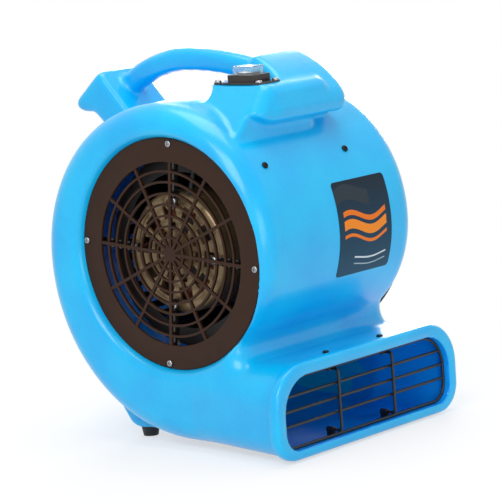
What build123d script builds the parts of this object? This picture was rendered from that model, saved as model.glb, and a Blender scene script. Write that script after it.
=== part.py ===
"""Carpet-drying air mover: a double-inlet centrifugal blower in a one-piece moulded shell.

Millimetres, +Z up, the outlet faces -Y and the fan axis lies along X.
The origin is on the floor under the middle of the whole outline.
"""
from build123d import *
from math import atan2, cos, degrees, radians, sin, sqrt, tan
import os

os.makedirs("parts", exist_ok=True)

# ---------------------------------------------------------------- driving dimensions
# shell: scroll
floor_gap = 8.2              # lowest point of the scroll above the floor
scroll_front = 146.2         # scroll radius straight ahead of the axis
scroll_step = 23.0           # extra scroll radius for each quarter turn
scroll_half = 140.5          # half width of the scroll
scroll_edge = 28.0           # rounding between scroll and side face
floor_fall = 1.6             # degrees, slope of the outlet floor
cutoff_turn = 60.0           # degrees that the inside of the scroll runs on below the front
neck_turn = 48.0             # degrees that the outside runs on before it turns into the neck
wall = 4.0                   # moulded wall

# shell: outlet nose and rim, distances forward of the fan axis
rim_front = 172.0
rim_depth = 14.0
rim_half = 165.0
rim_low = 2.0
rim_high = 108.5
rim_top_round = 50.0
rim_low_round = 33.0
rim_band = 15.0              # width of the flat lip round the opening, at the sides
rim_band_low = 11.0
rim_band_top = 14.0
rim_soft = 5.0
nose_half = 158.0
nose_low = 3.5
nose_high = 105.5
nose_root = 8.0              # where the nose ends inside the scroll, forward of the axis
tongue_face = 67.0           # end of the tongue, forward of the axis
nose_sink = 0.6              # the nose stands this much proud of the straight duct inside it
duct_rise = 4.6              # the duct's floor climbs this much from the mouth to the tongue
duct_drop = 1.0              # and its roof comes down this much

# shell: grille seats in both sides
grille_margin = 14.0         # scroll beyond the grille, straight ahead of the axis
grille_face = 130.4          # outer face of the grille from mid-plane
grille_thick = 3.2
seat_gap = 0.6               # radial play of a grille in its seat
seat_lip = 10.0              # soft rounding from the seat to the side face
seat_bulge = 2.3             # how far the lip swells beyond a straight bevel
seat_ledge = 18.2            # width of the ledge that the grille rests on

# shell: front block, switch pod, rear block and handle; heights count from the scroll's crest
block_half = 66.0
block_front = 115.5
block_soft = 9.0
block_ridge = (-45.0, 44.4)
block_brow = (-82.0, 25.9)   # the top of the block curves down through this point
block_nose = (-109.0, 1.4)   # and meets the front face here
block_face_foot = -15.6
block_lip = (-112.5, -26.6)
block_under = (-86.0, -30.6)
block_root = -52.6
pod_rise = 15.4              # seat of the switch plate
pod_back = -26.0
pod_flare = 0.85             # sideways growth of the pod for each mm down
pod_root = -54.6
pod_right = 34.0             # end of the pod inside the block
pod_soft = 18.0
neck_front = 96.0
recess_high = (-13.6, -15.6)
horn_half = 39.7
horn_soft = 6.0
horn_reach = 218.0
horn_lip = 207.0             # front end of the slope under the tail
horn_sole = 190.0            # the flat underside ends here
horn_feet = (146.0, 108.0, 112.0)   # distances behind the axis of the three root points
horn_bend = 8.0              # rounding of the two wider corners
horn_ridge = (177.4, 27.5)
horn_tail = (-8.1, -17.6)
horn_under = -22.1
horn_root = (-63.6, -70.6, -43.6)
handle_thick = 27.0
handle_round = 11.0
handle_crown = (63.0, 50.9)
handle_front_radius = 400.0
handle_rear_radius = 170.0
groove_pitch = 20.0          # finger grooves across the underside of the handle
groove_radius = 40.0
groove_depth = 0.9

# rubber feet
rear_foot_radius = 11.0
rear_foot_tip = 8.7
rear_foot_height = 12.0
rear_foot_x = 90.0
rear_foot_y = 87.0
foot_boss_half = 14.0
front_foot_radius = 12.0
front_foot_height = 5.4
front_foot_x = 96.0
front_foot_y = -130.0
foot_screw_radius = 2.0
foot_screw_head = 4.0
foot_screw_grip = 12.0

# grille pattern
grille_flange = 27.5         # width of the solid ring round the web
grille_hub = 8.4
web_back = 0.8               # the web stands this much behind the seat
grille_ring_radii = (19.0, 31.4, 43.7, 56.6, 68.9, 81.8, 94.1)
grille_ring_width = 2.6
grille_spoke_width = 3.6
grille_spokes = 12
grille_turn = 5.0            # the pattern is turned this far towards the outlet
grille_screw_margin = 6.2    # screws stand this far inside the edge of the grille
screw_radius = 2.1
screw_head_radius = 3.9
screw_head_height = 2.4
screw_play = 0.15
snug = 0.02                  # play of a thread in its nut, and of two faces that touch
nut_radius = 5.0
nut_thick = 4.0

# outlet guard
wire = 3.4
guard_back = 9.0             # wire plane behind the lip
guard_gap = 0.4
guard_rails = (73.0, 56.5, 40.0)
guard_upright = 49.2
guard_leg = 17.0
weld = 0.05                  # touching wires stay this far apart
clip_width = 9.0
clip_strap = 1.6
clip_seat = 0.2              # the strap stands this much clear of the roof and the floor
clip_reach = 8.0             # screw beside the wire, through the foot of a lower clip
clip_y = -150.7

# motor
motor_radius = 69.5
motor_skin = 1.2
motor_face = 116.0           # outer face of the motor from mid-plane
bell_depth = 13.0
bell_skin = 3.0
bell_round = 7.0
bell_slots = ((47.0, 15.0, 19.0), (30.0, 9.0, 11.0))   # radius, length, width of each row
bell_slot_count = 10
bell_groove = (56.8, 58.4)   # shallow ring pressed into the face
knockout_circle = 56.0
motor_inner_face = 16.0
stator_radius = 68.2
stator_bore = 35.0
air_gap = 0.5
stator_length = 50.0
winding_depth = 8.0
shaft_radius = 6.35
shaft_play = 0.04
bushing_radius = 10.5
arm_thick = 3.0
arm_width = 10.0
arm_inner = 52.0
bolt_circle = 60.0
boss_radius = 5.0
winding_inner = 38.0
winding_outer = 62.0
bolt_radius = 2.4

# blower wheel
wheel_radius = 110.0
wheel_inner = 91.0
wheel_half = 101.0
wheel_ring = 2.0
blade_count = 40
blade_thick = 1.2
disc_thick = 1.6
hub_radius = 16.0
hub_length = 22.0
hub_flange_radius = 32.0
hub_flange = 3.0
rivet_circle = 25.0
set_screw_radius = 3.0

# switch
plate_thick = 2.0
plate_width = 37.0
plate_length = 69.0
plate_screw_pitch_x = 29.0
plate_screw_pitch_y = 60.0
plate_x = -48.0
plate_y = -61.5
switch_x = -47.0
switch_y = -64.0
switch_length = 39.0
switch_width = 30.0
switch_height = 8.0
switch_body_length = 33.0
switch_body_width = 22.0
switch_body_depth = 26.0
rocker_length = 21.0
rocker_width = 13.0
rocker_gap = 0.8
rocker_height = 7.5
rocker_proud = 2.5
trunnion_radius = 1.5
trunnion_play = 0.06
boot_length = 29.0
boot_width = 23.0
boot_height = 9.5
boot_skin = 1.2

# wiring cover and capacitor inside the switch pod
cover_thick = 1.5
cover_gap = 0.2
cover_from = 35
cover_to = 90
cover_left = -106.0
cover_right = 63.0
cover_screw_angle = 39.5
cover_screw_left = -95.7
cover_screw_right = 45.8
capacitor_radius = 15.0
capacitor_length = 58.0
capacitor_x = 18.0
capacitor_angle = 68.0

# label
label_left = -5.0
label_right = 90.0
label_low = -17
label_high = 26
label_thick = 0.4
label_round = 4.5

# cord gland at the back
gland_angle = 172
gland_x = 60.0
gland_radius = 11.0
gland_bore = 4.5
gland_thread = 8.0
gland_seat = 0.5

# motor lead from the motor to the switch pod
lead_radius = 3.0
lead_x = -109.0
lead_end_x = -26.0
lead_drop = 23.0             # its run along the scroll stays this far inside the wall
lead_bend = 14.0
grommet_wall = 1.8
lead_angle = 74

# ---------------------------------------------------------------- derived places
axis_height = floor_gap + scroll_front + 3 * scroll_step
crest = axis_height + scroll_front + scroll_step          # height of the top of the scroll
axis_y = (rim_front - horn_reach) / 2      # puts the origin under the middle of the outline
pod_top = crest + pod_rise
grille_radius = scroll_front - grille_margin
intake_radius = grille_radius - seat_ledge
grille_open = grille_radius - grille_flange
grille_screw_circle = grille_radius - grille_screw_margin
seat_face = grille_face - grille_thick     # plane that the grille rests on
ledge_inner = seat_face - wall
seat_radius = grille_radius + seat_gap
screw_angles = [90 * i - grille_turn for i in range(4)]
guard_y = -(rim_front - guard_back)
rotor_radius = stator_bore - air_gap
stator_mid = -(motor_face + motor_inner_face) / 2


def side(x, base=0.0):
    """Plane across the fan axis at x: local x is forward/back, local y is height over the base."""
    return Plane(origin=(x, axis_y, base), x_dir=(0, 1, 0), z_dir=(1, 0, 0))


def around(x):
    """Plane across the fan axis at x with its origin on the axis."""
    return Plane(origin=(x, axis_y, axis_height), x_dir=(0, 1, 0), z_dir=(1, 0, 0))


def facing(y, base=0.0):
    """Plane facing the outlet side, y behind the axis: local x is across, local y is height."""
    return Plane(origin=(0, axis_y + y, base), x_dir=(1, 0, 0), z_dir=(0, -1, 0))


def level(z, x=0.0, y=0.0):
    """Horizontal plane at height z with its origin x across and y behind the axis."""
    return Plane(origin=(x, axis_y + y, z))


def scroll_centre(quarter):
    """Centre of the arc of one quarter; the centres stand on a square round the axis."""
    shift = scroll_step / 2
    return [(shift, shift), (shift, -shift), (-shift, -shift), (-shift, shift)][quarter % 4]


def quarter_radius(quarter, inset=0.0):
    """Radius of the arc of one quarter: 0 is front to top, 1 top to back, 2 back to floor."""
    return scroll_front + scroll_step * (quarter + 0.5) - inset


def scroll_place(angle, inset=0.0):
    """Point and outward normal on the scroll; angle 0 is straight ahead, 90 top, 180 back."""
    out = (-cos(radians(angle)), sin(radians(angle)))
    for quarter in (-1, 0, 1, 2):
        centre = scroll_centre(quarter)
        radius = quarter_radius(quarter, inset)
        along = out[0] * centre[0] + out[1] * centre[1]
        r = along + sqrt(along ** 2 + radius ** 2 - scroll_step ** 2 / 2)
        point = (r * out[0], r * out[1])
        normal = ((point[0] - centre[0]) / radius, (point[1] - centre[1]) / radius)
        turn = degrees(atan2(normal[1], -normal[0]))
        if turn < -100:
            turn += 360
        if turn <= 90 * quarter + 90:
            break
    return point, normal


def scroll_point(angle, inset=0.0):
    return scroll_place(angle, inset)[0]


def scroll_radius(angle, inset=0.0):
    y, z = scroll_point(angle, inset)
    return sqrt(y * y + z * z)


def polar(radius, angle):
    """Point about the fan axis, angle counted as on the scroll."""
    return (-radius * cos(radians(angle)), radius * sin(radians(angle)))


def wall_plane(x, angle, inset=0.0):
    """Plane on the scroll wall at x and angle, facing out of the shell, inset along its normal."""
    (y, z), (ny, nz) = scroll_place(angle)
    skin = Plane(origin=(x, axis_y + y, axis_height + z), x_dir=(1, 0, 0), z_dir=(0, ny, nz))
    return skin.offset(-inset)


def radial_plane(angle):
    """Plane through the fan axis: local x runs along the axis, local y straight out from it."""
    out = Vector(0, -cos(radians(angle)), sin(radians(angle)))
    normal = Vector(1, 0, 0).cross(out)
    return Plane(origin=(0, axis_y, axis_height), x_dir=(1, 0, 0), z_dir=normal)


def scroll_band(low, high, inside, outside):
    """Closed outline between two copies of the scroll line, from one angle to another."""
    joints = (degrees(atan2(scroll_step / 2, scroll_front)),
              90 + degrees(atan2(scroll_step / 2, scroll_front + scroll_step)))
    stops = [low] + [a for a in joints if low < a < high] + [high]
    with BuildLine() as line:
        for start, end in zip(stops, stops[1:]):
            middle = (start + end) / 2
            ThreePointArc(*[scroll_point(a, inside) for a in (start, middle, end)])
            ThreePointArc(*[scroll_point(a, outside) for a in (start, middle, end)])
        Line(scroll_point(low, inside), scroll_point(low, outside))
        Line(scroll_point(high, inside), scroll_point(high, outside))
    return line.line


def rounded_slab(half, low, high, low_round, top_round):
    """Closed outline, wide and low, with one radius on the floor corners and one on the top."""
    with BuildLine() as line:
        Line((-half + low_round, low), (half - low_round, low))
        JernArc((half - low_round, low), (1, 0), low_round, 90)
        Line((half, low + low_round), (half, high - top_round))
        JernArc((half, high - top_round), (0, 1), top_round, 90)
        Line((half - top_round, high), (-half + top_round, high))
        JernArc((-half + top_round, high), (-1, 0), top_round, 90)
        Line((-half, high - top_round), (-half, low + low_round))
        JernArc((-half, low + low_round), (0, -1), low_round, 90)
    return line.line


# ---------------------------------------------------------------- shell, outside
def scroll_outline():
    """Side view of the shell: four arcs, the concave neck and the top and floor of the nose."""
    top = (scroll_step / 2, scroll_front + scroll_step)
    nose_end = -rim_front + 10
    with BuildLine() as line:
        rear = JernArc(top, (1, 0), quarter_radius(1), -90)
        lower = JernArc(rear @ 1, (0, -1), quarter_radius(2), -90 + floor_fall)
        run = (lower @ 1).X - nose_end
        floor = Line(lower @ 1, (nose_end, (lower @ 1).Y - run * tan(radians(floor_fall))))
        front = JernArc(top, (-1, 0), quarter_radius(0), 90)
        tongue = JernArc(front @ 1, (0, -1), quarter_radius(-1), neck_turn)
        drop = axis_height + (tongue @ 1).Y - nose_high
        neck_round = drop / (1 + sin(radians(neck_turn)))
        neck = JernArc(tongue @ 1, tongue % 1, neck_round, -90 - neck_turn)
        Polyline(neck @ 1, (nose_end, (neck @ 1).Y), floor @ 1)
    return line.line


def scroll_cavity(half, edge):
    """Air space of the scroll, one wall inside the shell, cut off square at the tongue."""
    top = (scroll_step / 2, scroll_front + scroll_step - wall)
    with BuildPart() as body:
        with BuildSketch(around(0)):
            with BuildLine():
                rear = JernArc(top, (1, 0), quarter_radius(1, wall), -90)
                lower = JernArc(rear @ 1, (0, -1), quarter_radius(2, wall), -90 + floor_fall)
                front = JernArc(top, (-1, 0), quarter_radius(0, wall), 90)
                tongue = JernArc(front @ 1, (0, -1), quarter_radius(-1, wall), cutoff_turn)
                run = (lower @ 1).X + tongue_face
                low_corner = (-tongue_face, (lower @ 1).Y - run * tan(radians(floor_fall)))
                Polyline(lower @ 1, low_corner, tongue @ 1)
            make_face()
        extrude(amount=half, both=True)
        fillet(body.faces().filter_by(Axis.X).edges().filter_by(GeomType.CIRCLE), edge)
    return body.part


def nose_solid(front, back, low, high, half_front, half_back, low_round, top_round, back_round):
    """Outlet duct between two rounded slab outlines, front and back given as y about the axis."""
    with BuildPart() as duct:
        with BuildSketch(facing(front)):
            add(rounded_slab(half_front, low[0], high[0], low_round, top_round))
            make_face()
        with BuildSketch(facing(back)):
            add(rounded_slab(half_back, low[1], high[1], back_round, back_round))
            make_face()
        loft(ruled=True)
    return duct.part


def block_profile(inset=0.0):
    """Front block seen from the side, with its curved brow and the lip under it."""
    with BuildSketch(Plane.XY) as outline:
        with BuildLine():
            top = ThreePointArc(block_ridge, block_brow, block_nose)
            face = TangentArc(top @ 1, (-block_front, block_face_foot), tangent=top % 1)
            Polyline(
                face @ 1,
                block_lip,
                block_under,
                (block_under[0] + 4, block_root),
                (pod_back + 2, block_root),
                (pod_back + 1, block_root + 44),
                (pod_back - 2, pod_rise),
                block_ridge,
            )
        make_face()
        for corner, radius in ((block_ridge, 6), ((-block_front, block_face_foot), 5)):
            fillet(outline.vertices().sort_by_distance(corner)[0], radius)
        if inset:
            offset(amount=-inset, kind=Kind.INTERSECTION)
    return outline.sketch


def horn_profile(inset=0.0):
    """Rear block seen from the side, leaning back over the scroll; the handle springs from it."""
    with BuildSketch(Plane.XY) as outline:
        with BuildLine():
            Polyline(
                horn_ridge,
                (horn_reach, horn_tail[0]),
                (horn_reach, horn_tail[1]),
                (horn_lip, horn_under),
                (horn_sole, horn_under),
                (horn_feet[0], horn_root[0]),
                (horn_feet[1], horn_root[1]),
                (horn_feet[2], horn_root[2]),
                close=True,
            )
        make_face()
        for corner, radius in ((horn_ridge, horn_soft), ((horn_lip, horn_under), horn_soft),
                               ((horn_sole, horn_under), horn_bend),
                               ((horn_reach, horn_tail[0]), horn_bend)):
            fillet(outline.vertices().sort_by_distance(corner)[0], radius)
        if inset:
            offset(amount=-inset, kind=Kind.INTERSECTION)
    return outline.sketch


def grip(thick, corner):
    """Arched handle bar of square section with rounded edges, from block to block."""
    crown = (handle_crown[0], handle_crown[1] - handle_thick / 2)
    with BuildPart() as bar:
        with BuildLine(side(0, crest)):
            front_run = JernArc(crown, (-1, 0), handle_front_radius, 16.5)
            rear_run = JernArc(crown, (1, 0), handle_rear_radius, -38)
        for run in (front_run, rear_run):
            with BuildSketch(facing(handle_crown[0], crest)):
                with Locations((0, crown[1])):
                    RectangleRounded(thick, thick, corner)
            sweep(path=run)
    return bar.part


def finish(piece, name):
    """Label a finished piece and write it as its own file."""
    piece.part.label = name
    export_step(piece.part, f"parts/{name}.step")


with BuildPart() as scroll:
    with BuildSketch(around(0)):
        add(scroll_outline())
        make_face()
    extrude(amount=scroll_half, both=True)
    nose_end = scroll.faces().filter_by(Axis.Y).sort_by(Axis.Y)[0]
    side_edges = [e for e in scroll.faces().filter_by(Axis.X).edges()
                  if e.center().Y > nose_end.center().Y + 1]
    fillet(side_edges, scroll_edge)

nose = nose_solid(-rim_front + 4, -nose_root,
                  (nose_low, nose_low + 4.5 + 2 * nose_sink), (nose_high + nose_sink, nose_high - 2),
                  nose_half, scroll_half - 2, rim_low_round - 4, rim_top_round - 3, scroll_edge)

with BuildPart() as rim:
    with BuildSketch(facing(-rim_front + rim_depth)):
        add(rounded_slab(rim_half, rim_low, rim_high, rim_low_round, rim_top_round))
        make_face()
    extrude(amount=rim_depth)
    fillet(rim.faces().sort_by(Axis.Y)[0].edges(), rim_soft)
    fillet(rim.faces().sort_by(Axis.Y)[-1].edges(), rim_soft - 1)

with BuildPart() as front_block:
    with BuildSketch(side(-block_half, crest)):
        add(block_profile())
    extrude(amount=2 * block_half)
    fillet(front_block.faces().filter_by(Axis.X).edges(), block_soft)
    # level seat for the switch plate, beside the handle
    with BuildSketch(facing(0)):
        with BuildLine():
            Polyline(
                (-block_half - 20, pod_top),
                (plate_x + plate_width / 2 + 0.5, pod_top),
                (plate_x + plate_width / 2 + 14, pod_top + 32),
                (-block_half - 20, pod_top + 32),
                close=True,
            )
        make_face()
    extrude(amount=block_front + 30, mode=Mode.SUBTRACT)

with BuildPart() as pod:
    # flared support that carries the switch down to the edge of the scroll
    with BuildSketch(facing(pod_back, crest)):
        with BuildLine():
            Polyline(
                (-block_half, pod_rise),
                (-block_half - pod_flare * (pod_rise - pod_root), pod_root),
                (0, pod_root),
                (pod_right, block_lip[1]),
                (pod_right, pod_rise),
                close=True,
            )
        make_face()
    extrude(amount=block_front - 3 + pod_back)
    fillet(pod.edges().filter_by(Axis.Y).group_by(Axis.Z)[-1].sort_by(Axis.X)[0], 4)
    flank = pod.faces().sort_by(Axis.X)[0]
    fillet(flank.edges().sort_by(Axis.Y)[0], pod_soft)
    # recess under the lip, in front of the neck
    with BuildSketch(facing(-neck_front, crest)):
        with BuildLine():
            Polyline(
                (-block_half - 90, pod_root - 10),
                (-block_half - 90, recess_high[0]),
                (-block_half - 28, recess_high[1]),
                (-block_half, block_lip[1]),
                (block_half, block_lip[1]),
                (block_half, pod_root - 10),
                close=True,
            )
        make_face()
        fillet(vertices().sort_by_distance((-block_half - 28, recess_high[1]))[0], 8)
    extrude(amount=60, mode=Mode.SUBTRACT)

with BuildPart() as horn:
    with BuildSketch(side(-horn_half, crest)):
        add(horn_profile())
    extrude(amount=2 * horn_half)
    fillet(horn.faces().filter_by(Axis.X).edges(), horn_soft)

with BuildPart() as handle:
    add(grip(handle_thick, handle_round))
    # finger grooves across the underside, spaced along both runs of the arch
    for radius, turns in ((-handle_front_radius, (-0.5, -1.5, -2.5, -3.5)),
                          (handle_rear_radius, (0.5, 1.5, 2.5))):
        under = abs(radius) - handle_thick / 2
        reach = under + groove_depth - groove_radius
        for turn in turns:
            swing = turn * groove_pitch / under
            with BuildSketch(side(0, crest)):
                with Locations((handle_crown[0] + reach * sin(swing),
                                handle_crown[1] - handle_thick / 2 - abs(radius) + reach * cos(swing))):
                    Circle(groove_radius)
            extrude(amount=handle_thick, both=True, mode=Mode.SUBTRACT)

with BuildPart() as outside:
    add(scroll)
    add(nose)
    add(rim)
    add(front_block)
    add(pod)
    add(horn)
    add(handle)
    # bosses for the rear feet
    for sign in (-1, 1):
        with BuildSketch(side(sign * rear_foot_x, rear_foot_height)):
            with BuildLine():
                Polyline(
                    (rear_foot_y + 39, 54),
                    (rear_foot_y + 31, 21),
                    (rear_foot_y + 18, 3),
                    (rear_foot_y + 12, 0),
                    (rear_foot_y - 24, 0),
                    (rear_foot_y - 47, 6),
                    (rear_foot_y + 10, 54),
                    close=True,
                )
            make_face()
        extrude(amount=foot_boss_half, both=True)

with BuildPart() as inside:
    add(scroll_cavity(scroll_half - wall, scroll_edge - wall))
    add(nose_solid(-rim_front + rim_depth, -tongue_face + 0.5,
                   (nose_low + wall, nose_low + wall + duct_rise),
                   (nose_high - wall, nose_high - wall - duct_drop),
                   nose_half - wall, scroll_half - wall - 1.5,
                   rim_low_round - 8, rim_top_round - 8, scroll_edge - wall - 1))
    # collars round the intakes stay solid
    for sign in (-1, 1):
        with BuildSketch(around(sign * ledge_inner)):
            Circle(seat_radius + wall)
        extrude(amount=sign * (scroll_half - ledge_inner), mode=Mode.SUBTRACT)

with BuildPart() as block_space:
    # hollow of the front block, open to the scroll and closed there by the wiring cover
    with BuildSketch(side(-block_half + wall, crest)):
        add(block_profile(wall))
    extrude(amount=2 * (block_half - wall))
    with BuildSketch(facing(0)):
        with BuildLine():
            edge = plate_x + plate_width / 2 + 0.5 + wall
            Polyline(
                (-block_half - 20, pod_top - wall),
                (edge, pod_top - wall),
                (edge + 14, pod_top + 32),
                (-block_half - 20, pod_top + 32),
                close=True,
            )
        make_face()
    extrude(amount=block_front + 30, mode=Mode.SUBTRACT)

with BuildPart() as horn_space:
    with BuildSketch(side(-horn_half + wall, crest)):
        add(horn_profile(wall))
    extrude(amount=2 * (horn_half - wall))

handle_bore = grip(handle_thick - 2 * wall, handle_round - wall)

mouth_low = rim_low + rim_band_low
mouth_high = rim_high - rim_band_top
mouth_half = rim_half - rim_band
mouth_low_round = rim_low_round - rim_band_low
mouth_top_round = rim_top_round - 9

with BuildPart() as housing:
    add(outside.part)
    add(inside.part, mode=Mode.SUBTRACT)
    add(block_space.part, mode=Mode.SUBTRACT)
    add(horn_space.part, mode=Mode.SUBTRACT)
    add(handle_bore, mode=Mode.SUBTRACT)
    # outlet mouth through the rim
    with BuildSketch(facing(-rim_front + rim_depth + 2)):
        add(rounded_slab(mouth_half, mouth_low, mouth_high, mouth_low_round, mouth_top_round))
        make_face()
    extrude(amount=rim_depth + 4, mode=Mode.SUBTRACT)
    # grille seats, intakes and the holes of the grille screws
    for sign in (-1, 1):
        with BuildSketch(around(sign * seat_face)):
            Circle(seat_radius)
        extrude(amount=sign * 40, mode=Mode.SUBTRACT)
        # soft lip from the seat to the side face, a little flatter than a quarter circle
        low, high = sign * (scroll_half - seat_lip), sign * scroll_half
        swell = seat_lip / 2 + seat_bulge * sin(radians(45))
        with BuildSketch(radial_plane(90)):
            with BuildLine():
                lip = ThreePointArc(
                    (low, seat_radius),
                    (low + sign * swell, seat_radius + seat_lip - swell),
                    (high, seat_radius + seat_lip),
                )
                Polyline(lip @ 1, (high + sign, seat_radius + seat_lip),
                         (high + sign, seat_radius - 1), (low, seat_radius - 1), lip @ 0)
            make_face()
        revolve(axis=Axis((0, axis_y, axis_height), (1, 0, 0)), mode=Mode.SUBTRACT)
        with BuildSketch(around(sign * (ledge_inner - 2))):
            Circle(intake_radius)
            with Locations(*[polar(grille_screw_circle, a) for a in screw_angles]):
                Circle(screw_radius + screw_play)
        extrude(amount=sign * (wall + 4), mode=Mode.SUBTRACT)
    # switch opening and plate screws in the top of the pod
    with BuildSketch(level(pod_top + 1, switch_x, switch_y)):
        RectangleRounded(switch_body_width + 2, switch_body_length + 2, 2)
    extrude(amount=-wall - 3, mode=Mode.SUBTRACT)
    with BuildSketch(level(pod_top + 1, plate_x, plate_y)):
        with GridLocations(plate_screw_pitch_x, plate_screw_pitch_y, 2, 2):
            Circle(screw_radius)
    extrude(amount=-wall - 2, mode=Mode.SUBTRACT)
    # screws that hold the wiring cover, and the cord gland with its flat seat
    for x in (cover_screw_left, cover_screw_right):
        with BuildSketch(wall_plane(x, cover_screw_angle)):
            Circle(screw_radius + screw_play)
        extrude(amount=wall + 2, both=True, mode=Mode.SUBTRACT)
    with BuildSketch(wall_plane(gland_x, gland_angle)):
        Circle(gland_thread + screw_play)
    extrude(amount=wall + 2, both=True, mode=Mode.SUBTRACT)
    with BuildSketch(wall_plane(gland_x, gland_angle, gland_seat)):
        Circle(gland_radius + 0.3)
    extrude(amount=wall, mode=Mode.SUBTRACT)
    # clips of the outlet guard
    with BuildSketch(level(nose_high + 3, 0, clip_y)):
        with Locations((-guard_upright, 0), (guard_upright, 0)):
            Circle(screw_radius + screw_play)
    extrude(amount=-12, mode=Mode.SUBTRACT)
    with BuildSketch(level(nose_low + wall + 2, 0, clip_y)):
        with Locations((-guard_upright - clip_reach, 0), (guard_upright - clip_reach, 0)):
            Circle(screw_radius)
    extrude(amount=-wall - 0.8, mode=Mode.SUBTRACT)
    # feet: flat seats under the nose, and blind screw holes
    with BuildSketch(level(0, 0, front_foot_y)):
        with Locations((-front_foot_x, 0), (front_foot_x, 0)):
            Circle(front_foot_radius + 0.3)
    extrude(amount=front_foot_height, mode=Mode.SUBTRACT)
    with BuildSketch(level(0, 0, front_foot_y)):
        with Locations((-front_foot_x, 0), (front_foot_x, 0)):
            Circle(foot_screw_radius)
    extrude(amount=30, mode=Mode.SUBTRACT)
    with BuildSketch(level(0, 0, rear_foot_y)):
        with Locations((-rear_foot_x, 0), (rear_foot_x, 0)):
            Circle(foot_screw_radius)
    extrude(amount=rear_foot_height + foot_screw_grip, mode=Mode.SUBTRACT)
finish(housing, "housing")


# ---------------------------------------------------------------- fasteners
def pan_screw(plane, length, radius=screw_radius, head=screw_head_radius, height=screw_head_height):
    """Pan-head cross-recess screw; the plane lies under the head and faces out."""
    with BuildPart() as screw:
        with BuildSketch(plane):
            Circle(head)
        extrude(amount=height)
        fillet(screw.edges().filter_by(GeomType.CIRCLE).sort_by_distance(
            plane.origin + plane.z_dir * height * 2)[0], height * 0.6)
        with BuildSketch(plane.offset(height)):
            Rectangle(head * 1.1, head * 0.28)
            Rectangle(head * 0.28, head * 1.1)
        extrude(amount=-height * 0.5, mode=Mode.SUBTRACT)
        with BuildSketch(plane):
            Circle(radius)
        extrude(amount=-length)
    return screw.part


def hex_nut(plane, across, thick, bore):
    """Hexagon nut standing on the plane, on the side the plane faces."""
    with BuildPart() as nut:
        with BuildSketch(plane):
            RegularPolygon(across, 6)
            Circle(bore, mode=Mode.SUBTRACT)
        extrude(amount=thick)
    return nut.part


def across_axis(x, radius, angle, facing_x):
    """Plane square to the fan axis at x, centred at a radius and scroll angle, facing +X or -X."""
    y, z = polar(radius, angle)
    return Plane(origin=(x, axis_y + y, axis_height + z), x_dir=(0, 1, 0), z_dir=(facing_x, 0, 0))


# ---------------------------------------------------------------- intake grilles
def intake_grille(sign):
    """Moulded ring with a web of rings and spokes, set in a little from the face of the rim."""
    with BuildPart() as grille:
        with BuildSketch(around(sign * seat_face)):
            Circle(grille_radius)
            Circle(grille_open, mode=Mode.SUBTRACT)
        extrude(amount=sign * grille_thick)
        outer = grille.faces().sort_by(Axis.X)[-1 if sign > 0 else 0]
        fillet(outer.edges(), 1.0)
        with BuildSketch(around(sign * (seat_face - web_back))):
            for radius in grille_ring_radii:
                with BuildSketch(mode=Mode.PRIVATE) as ring:
                    Circle(radius + grille_ring_width / 2)
                    Circle(radius - grille_ring_width / 2, mode=Mode.SUBTRACT)
                add(ring.sketch)
            with PolarLocations((grille_open + 1) / 2, grille_spokes, 90 + grille_turn):
                Rectangle(grille_open + 1, grille_spoke_width)
            Circle(grille_hub)
        extrude(amount=sign * grille_thick)
        with BuildSketch(around(sign * (seat_face - 1))):
            with Locations(*[polar(grille_screw_circle, a) for a in screw_angles]):
                Circle(screw_radius + screw_play)
        extrude(amount=sign * (grille_thick + 2), mode=Mode.SUBTRACT)
    return grille


intake_grille_left = intake_grille(-1)
finish(intake_grille_left, "intake_grille_left")
intake_grille_right = intake_grille(1)
finish(intake_grille_right, "intake_grille_right")

with BuildPart() as grille_screws:
    reach = grille_thick + wall + arm_thick + nut_thick - 1
    for sign in (-1, 1):
        for angle in screw_angles:
            add(pan_screw(across_axis(sign * grille_face, grille_screw_circle, angle, sign), reach))
finish(grille_screws, "grille_screws")

with BuildPart() as grille_nuts:
    for angle in screw_angles:
        on_arm = across_axis(-ledge_inner + arm_thick, grille_screw_circle, angle, 1)
        add(hex_nut(on_arm, nut_radius, nut_thick, screw_radius + snug))
        on_ledge = across_axis(ledge_inner, grille_screw_circle, angle, -1)
        add(hex_nut(on_ledge, nut_radius, nut_thick, screw_radius + snug))
finish(grille_nuts, "grille_nuts")

# ---------------------------------------------------------------- outlet guard
loop_half = mouth_half - guard_gap - wire / 2
loop_low = mouth_low + guard_gap + wire / 2
loop_high = mouth_high - guard_gap - wire / 2
loop_low_round = mouth_low_round - guard_gap - wire / 2
loop_top_round = mouth_top_round - guard_gap - wire / 2
upright_y = guard_y - wire - weld
leg_high = loop_high - wire - weld
leg_low = loop_low + wire + weld


def rail_half(height):
    """Half length of a rail at a height, so that its ends just meet the rounded loop."""
    corner = loop_high - loop_top_round
    if height + wire / 2 > corner:
        radius = loop_top_round - wire / 2 - weld
        return loop_half - loop_top_round + sqrt(radius ** 2 - (height + wire / 2 - corner) ** 2)
    return loop_half - wire / 2 - weld


guard_loop = facing(guard_y).location * rounded_slab(loop_half, loop_low, loop_high,
                                                     loop_low_round, loop_top_round)

with BuildPart() as outlet_guard:
    # a closed loop of wire, cross rails that end on it, and two uprights that clip into the duct
    for run in guard_loop.edges():
        with BuildSketch(Plane(origin=run @ 0, z_dir=run % 0)):
            Circle(wire / 2)
        sweep(path=run)
    for height in guard_rails:
        with BuildSketch(side(-rail_half(height))):
            with Locations((guard_y, height)):
                Circle(wire / 2)
        extrude(amount=2 * rail_half(height))
    for x in (-guard_upright, guard_upright):
        with BuildLine(side(x)) as upright:
            FilletPolyline(
                (upright_y + guard_leg, leg_high),
                (upright_y, leg_high),
                (upright_y, leg_low),
                (upright_y + guard_leg, leg_low),
                radius=wire * 1.4,
            )
        with BuildSketch(facing(upright_y + guard_leg)):
            with Locations((x, leg_high)):
                Circle(wire / 2)
        sweep(path=upright.line)
finish(outlet_guard, "outlet_guard")

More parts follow.
